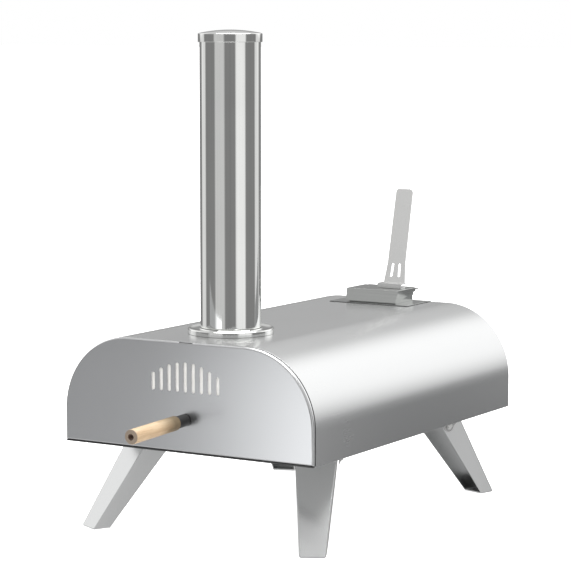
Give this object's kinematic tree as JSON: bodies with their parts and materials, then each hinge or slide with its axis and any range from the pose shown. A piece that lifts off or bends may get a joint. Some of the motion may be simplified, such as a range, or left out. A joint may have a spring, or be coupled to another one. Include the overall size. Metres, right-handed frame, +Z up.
{
  "type": "portable wood fired pizza oven",
  "caption": "Portable wood fired pizza oven: arched steel body on folding legs, lift-off front door with wooden handle, tall round chimney, rear pellet hopper.",
  "frame": {"origin": "middle of the oven box, on the surface it stands on", "axes": "+Z up, -Y the door side, +Y the fuel tray side, +X to the right seen from the door"},
  "size_m": [0.4, 0.7432, 0.6968],
  "materials": {
    "shell_steel": "satin",
    "door_steel": "satin",
    "polished_steel": "polished",
    "hopper_steel": "satin",
    "strip_steel": "satin",
    "leg_steel": "satin",
    "bracket_steel": "satin",
    "fastener_steel": "satin",
    "plate_steel": "satin",
    "fire_steel": "matte",
    "spacer_steel": "satin",
    "handle_wood": "satin",
    "cordierite": "matte",
    "ceramic_fibre": "matte"
  },
  "bodies": {
    "root": {"outer_shell": "shell_steel", "base_pan": "plate_steel", "front_frame": "plate_steel", "rear_panel": "plate_steel", "inner_liner": "fire_steel", "insulation_blanket": "ceramic_fibre", "floor_insulation": "ceramic_fibre", "stone_rail_left": "fire_steel", "stone_rail_right": "fire_steel", "flame_baffle": "fire_steel", "chimney_collar": "polished_steel", "chimney_throat": "fire_steel", "hopper_flange": "hopper_steel", "hopper_neck": "hopper_steel", "lid_hinge_pin": "fastener_steel", "leg_bracket_front_left": "bracket_steel", "leg_bracket_front_right": "bracket_steel", "leg_bracket_rear_left": "bracket_steel", "leg_bracket_rear_right": "bracket_steel", "leg_bolt_front_left": "fastener_steel", "leg_bolt_front_right": "fastener_steel", "leg_bolt_rear_left": "fastener_steel", "leg_bolt_rear_right": "fastener_steel", "leg_nut_front_left": "fastener_steel", "leg_nut_front_right": "fastener_steel", "leg_nut_rear_left": "fastener_steel", "leg_nut_rear_right": "fastener_steel"},
    "stone": {"pizza_stone": "cordierite"},
    "chimney": {"chimney_tube": "polished_steel"},
    "cap": {"chimney_cap": "polished_steel"},
    "lid": {"hopper_lid": "hopper_steel", "lid_handle": "strip_steel"},
    "burner": {"burner_tray": "fire_steel", "fuel_grate": "fire_steel", "tray_front": "plate_steel", "tray_pull": "plate_steel"},
    "door": {"door_outer": "door_steel", "door_backplate": "fire_steel", "door_plug": "fire_steel", "door_insulation": "ceramic_fibre", "handle_spacer": "spacer_steel", "door_handle": "handle_wood", "handle_screw": "fastener_steel"},
    "front_left_leg": {"leg_front_left": "leg_steel"},
    "front_right_leg": {"leg_front_right": "leg_steel"},
    "rear_left_leg": {"leg_rear_left": "leg_steel"},
    "rear_right_leg": {"leg_rear_right": "leg_steel"}
  },
  "joints": [
    {"name": "door_slide", "type": "slide", "parent": "root", "child": "door", "axis": [0, -1, 0], "range_m": [0, 0.2]},
    {"name": "stone_lift", "type": "slide", "parent": "root", "child": "stone", "axis": [0, 0, 1], "range_m": [0, 0.02]},
    {"name": "chimney_lift", "type": "slide", "parent": "root", "child": "chimney", "axis": [0, 0, 1], "range_m": [0, 0.06]},
    {"name": "cap_lift", "type": "slide", "parent": "chimney", "child": "cap", "axis": [0, 0, 1], "range_m": [0, 0.04]},
    {"name": "lid_hinge", "type": "hinge", "parent": "root", "child": "lid", "pos_m": [0, 0.335, 0.2985], "axis": [-1, 0, 0], "range_deg": [0, 100]},
    {"name": "burner_slide", "type": "slide", "parent": "root", "child": "burner", "axis": [0, 1, 0], "range_m": [0, 0.12]},
    {"name": "front_left_leg_fold", "type": "hinge", "parent": "root", "child": "front_left_leg", "pos_m": [-0.133, -0.1186, 0.116], "axis": [0.8894, -0.4571, 0], "range_deg": [0, 124.2]},
    {"name": "front_right_leg_fold", "type": "hinge", "parent": "root", "child": "front_right_leg", "pos_m": [0.133, -0.1186, 0.116], "axis": [0.8894, 0.4571, 0], "range_deg": [0, 124.2]},
    {"name": "rear_left_leg_fold", "type": "hinge", "parent": "root", "child": "rear_left_leg", "pos_m": [-0.1417, 0.2095, 0.116], "axis": [-0.9527, -0.304, 0], "range_deg": [0, 124.2]},
    {"name": "rear_right_leg_fold", "type": "hinge", "parent": "root", "child": "rear_right_leg", "pos_m": [0.1417, 0.2095, 0.116], "axis": [-0.9527, 0.304, 0], "range_deg": [0, 124.2]}
  ]
}
